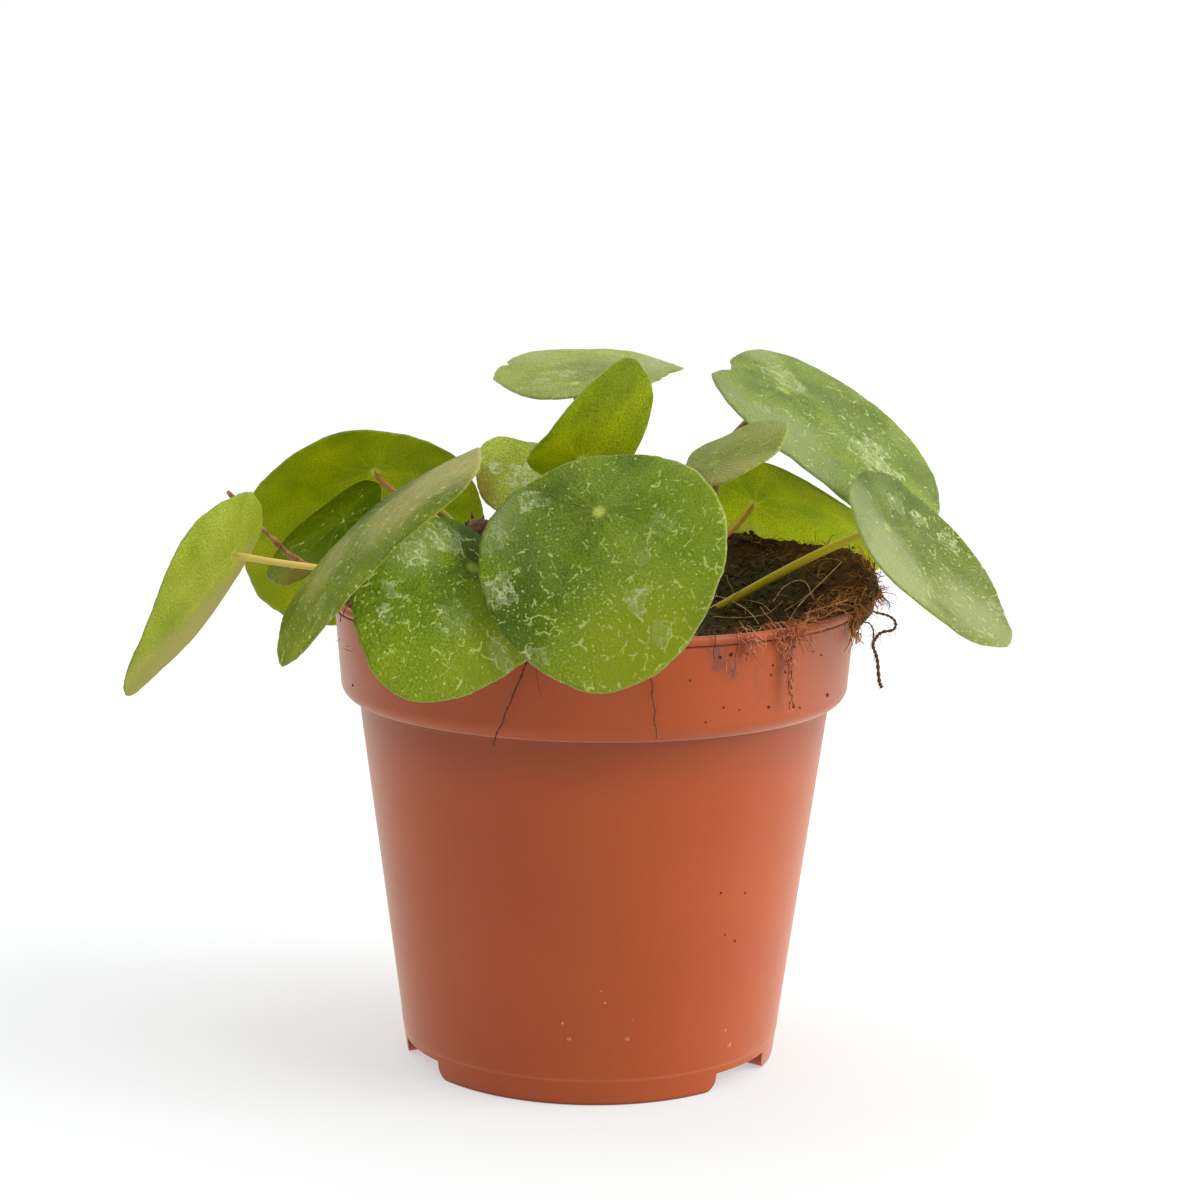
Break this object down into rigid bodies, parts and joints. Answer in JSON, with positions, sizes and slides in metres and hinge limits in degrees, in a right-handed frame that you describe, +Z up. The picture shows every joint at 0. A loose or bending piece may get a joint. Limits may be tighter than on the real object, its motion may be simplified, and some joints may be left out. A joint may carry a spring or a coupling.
{
  "type": "potted pilea plant",
  "caption": "House plant with round, coin-like leaves on thin stalks from two short stems, in peat soil in a tapered plastic nursery pot with a stepped band and notched feet.",
  "frame": {"origin": "middle of the whole plant's box, on the surface that the pot's feet stand on; the pot's own axis is 6.3 mm towards +X and 10.2 mm towards +Y of it", "axes": "+Z up along the pot's axis, -Y towards the front of the reference view, +X to its right"},
  "size_m": [0.1986, 0.1492, 0.1638],
  "materials": {
    "pot_plastic": "satin",
    "peat_soil": "matte",
    "leaf_blade": "satin",
    "leaf_stalk": "satin",
    "old_bark": "matte",
    "young_bark": "matte",
    "dried_stalk": "matte"
  },
  "bodies": {
    "root": {"pot": "pot_plastic", "soil": "peat_soil", "stem_old": "old_bark", "stem_young": "young_bark", "dead_stalk": "dried_stalk", "leaf_far_left": "leaf_blade", "leaf_back_left": "leaf_blade", "leaf_inner_left": "leaf_blade", "leaf_edge_left": "leaf_blade", "leaf_front_left": "leaf_blade", "leaf_front": "leaf_blade", "leaf_upright": "leaf_blade", "leaf_top": "leaf_blade", "leaf_gloss": "leaf_blade", "leaf_high_right": "leaf_blade", "leaf_small_right": "leaf_blade", "leaf_back_right": "leaf_blade", "leaf_far_right": "leaf_blade", "stalk_far_left": "leaf_stalk", "stalk_back_left": "leaf_stalk", "stalk_inner_left": "leaf_stalk", "stalk_edge_left": "leaf_stalk", "stalk_front_left": "leaf_stalk", "stalk_front": "leaf_stalk", "stalk_upright": "leaf_stalk", "stalk_top": "leaf_stalk", "stalk_gloss": "leaf_stalk", "stalk_high_right": "leaf_stalk", "stalk_small_right": "leaf_stalk", "stalk_back_right": "leaf_stalk", "stalk_far_right": "leaf_stalk"}
  },
  "joints": []
}
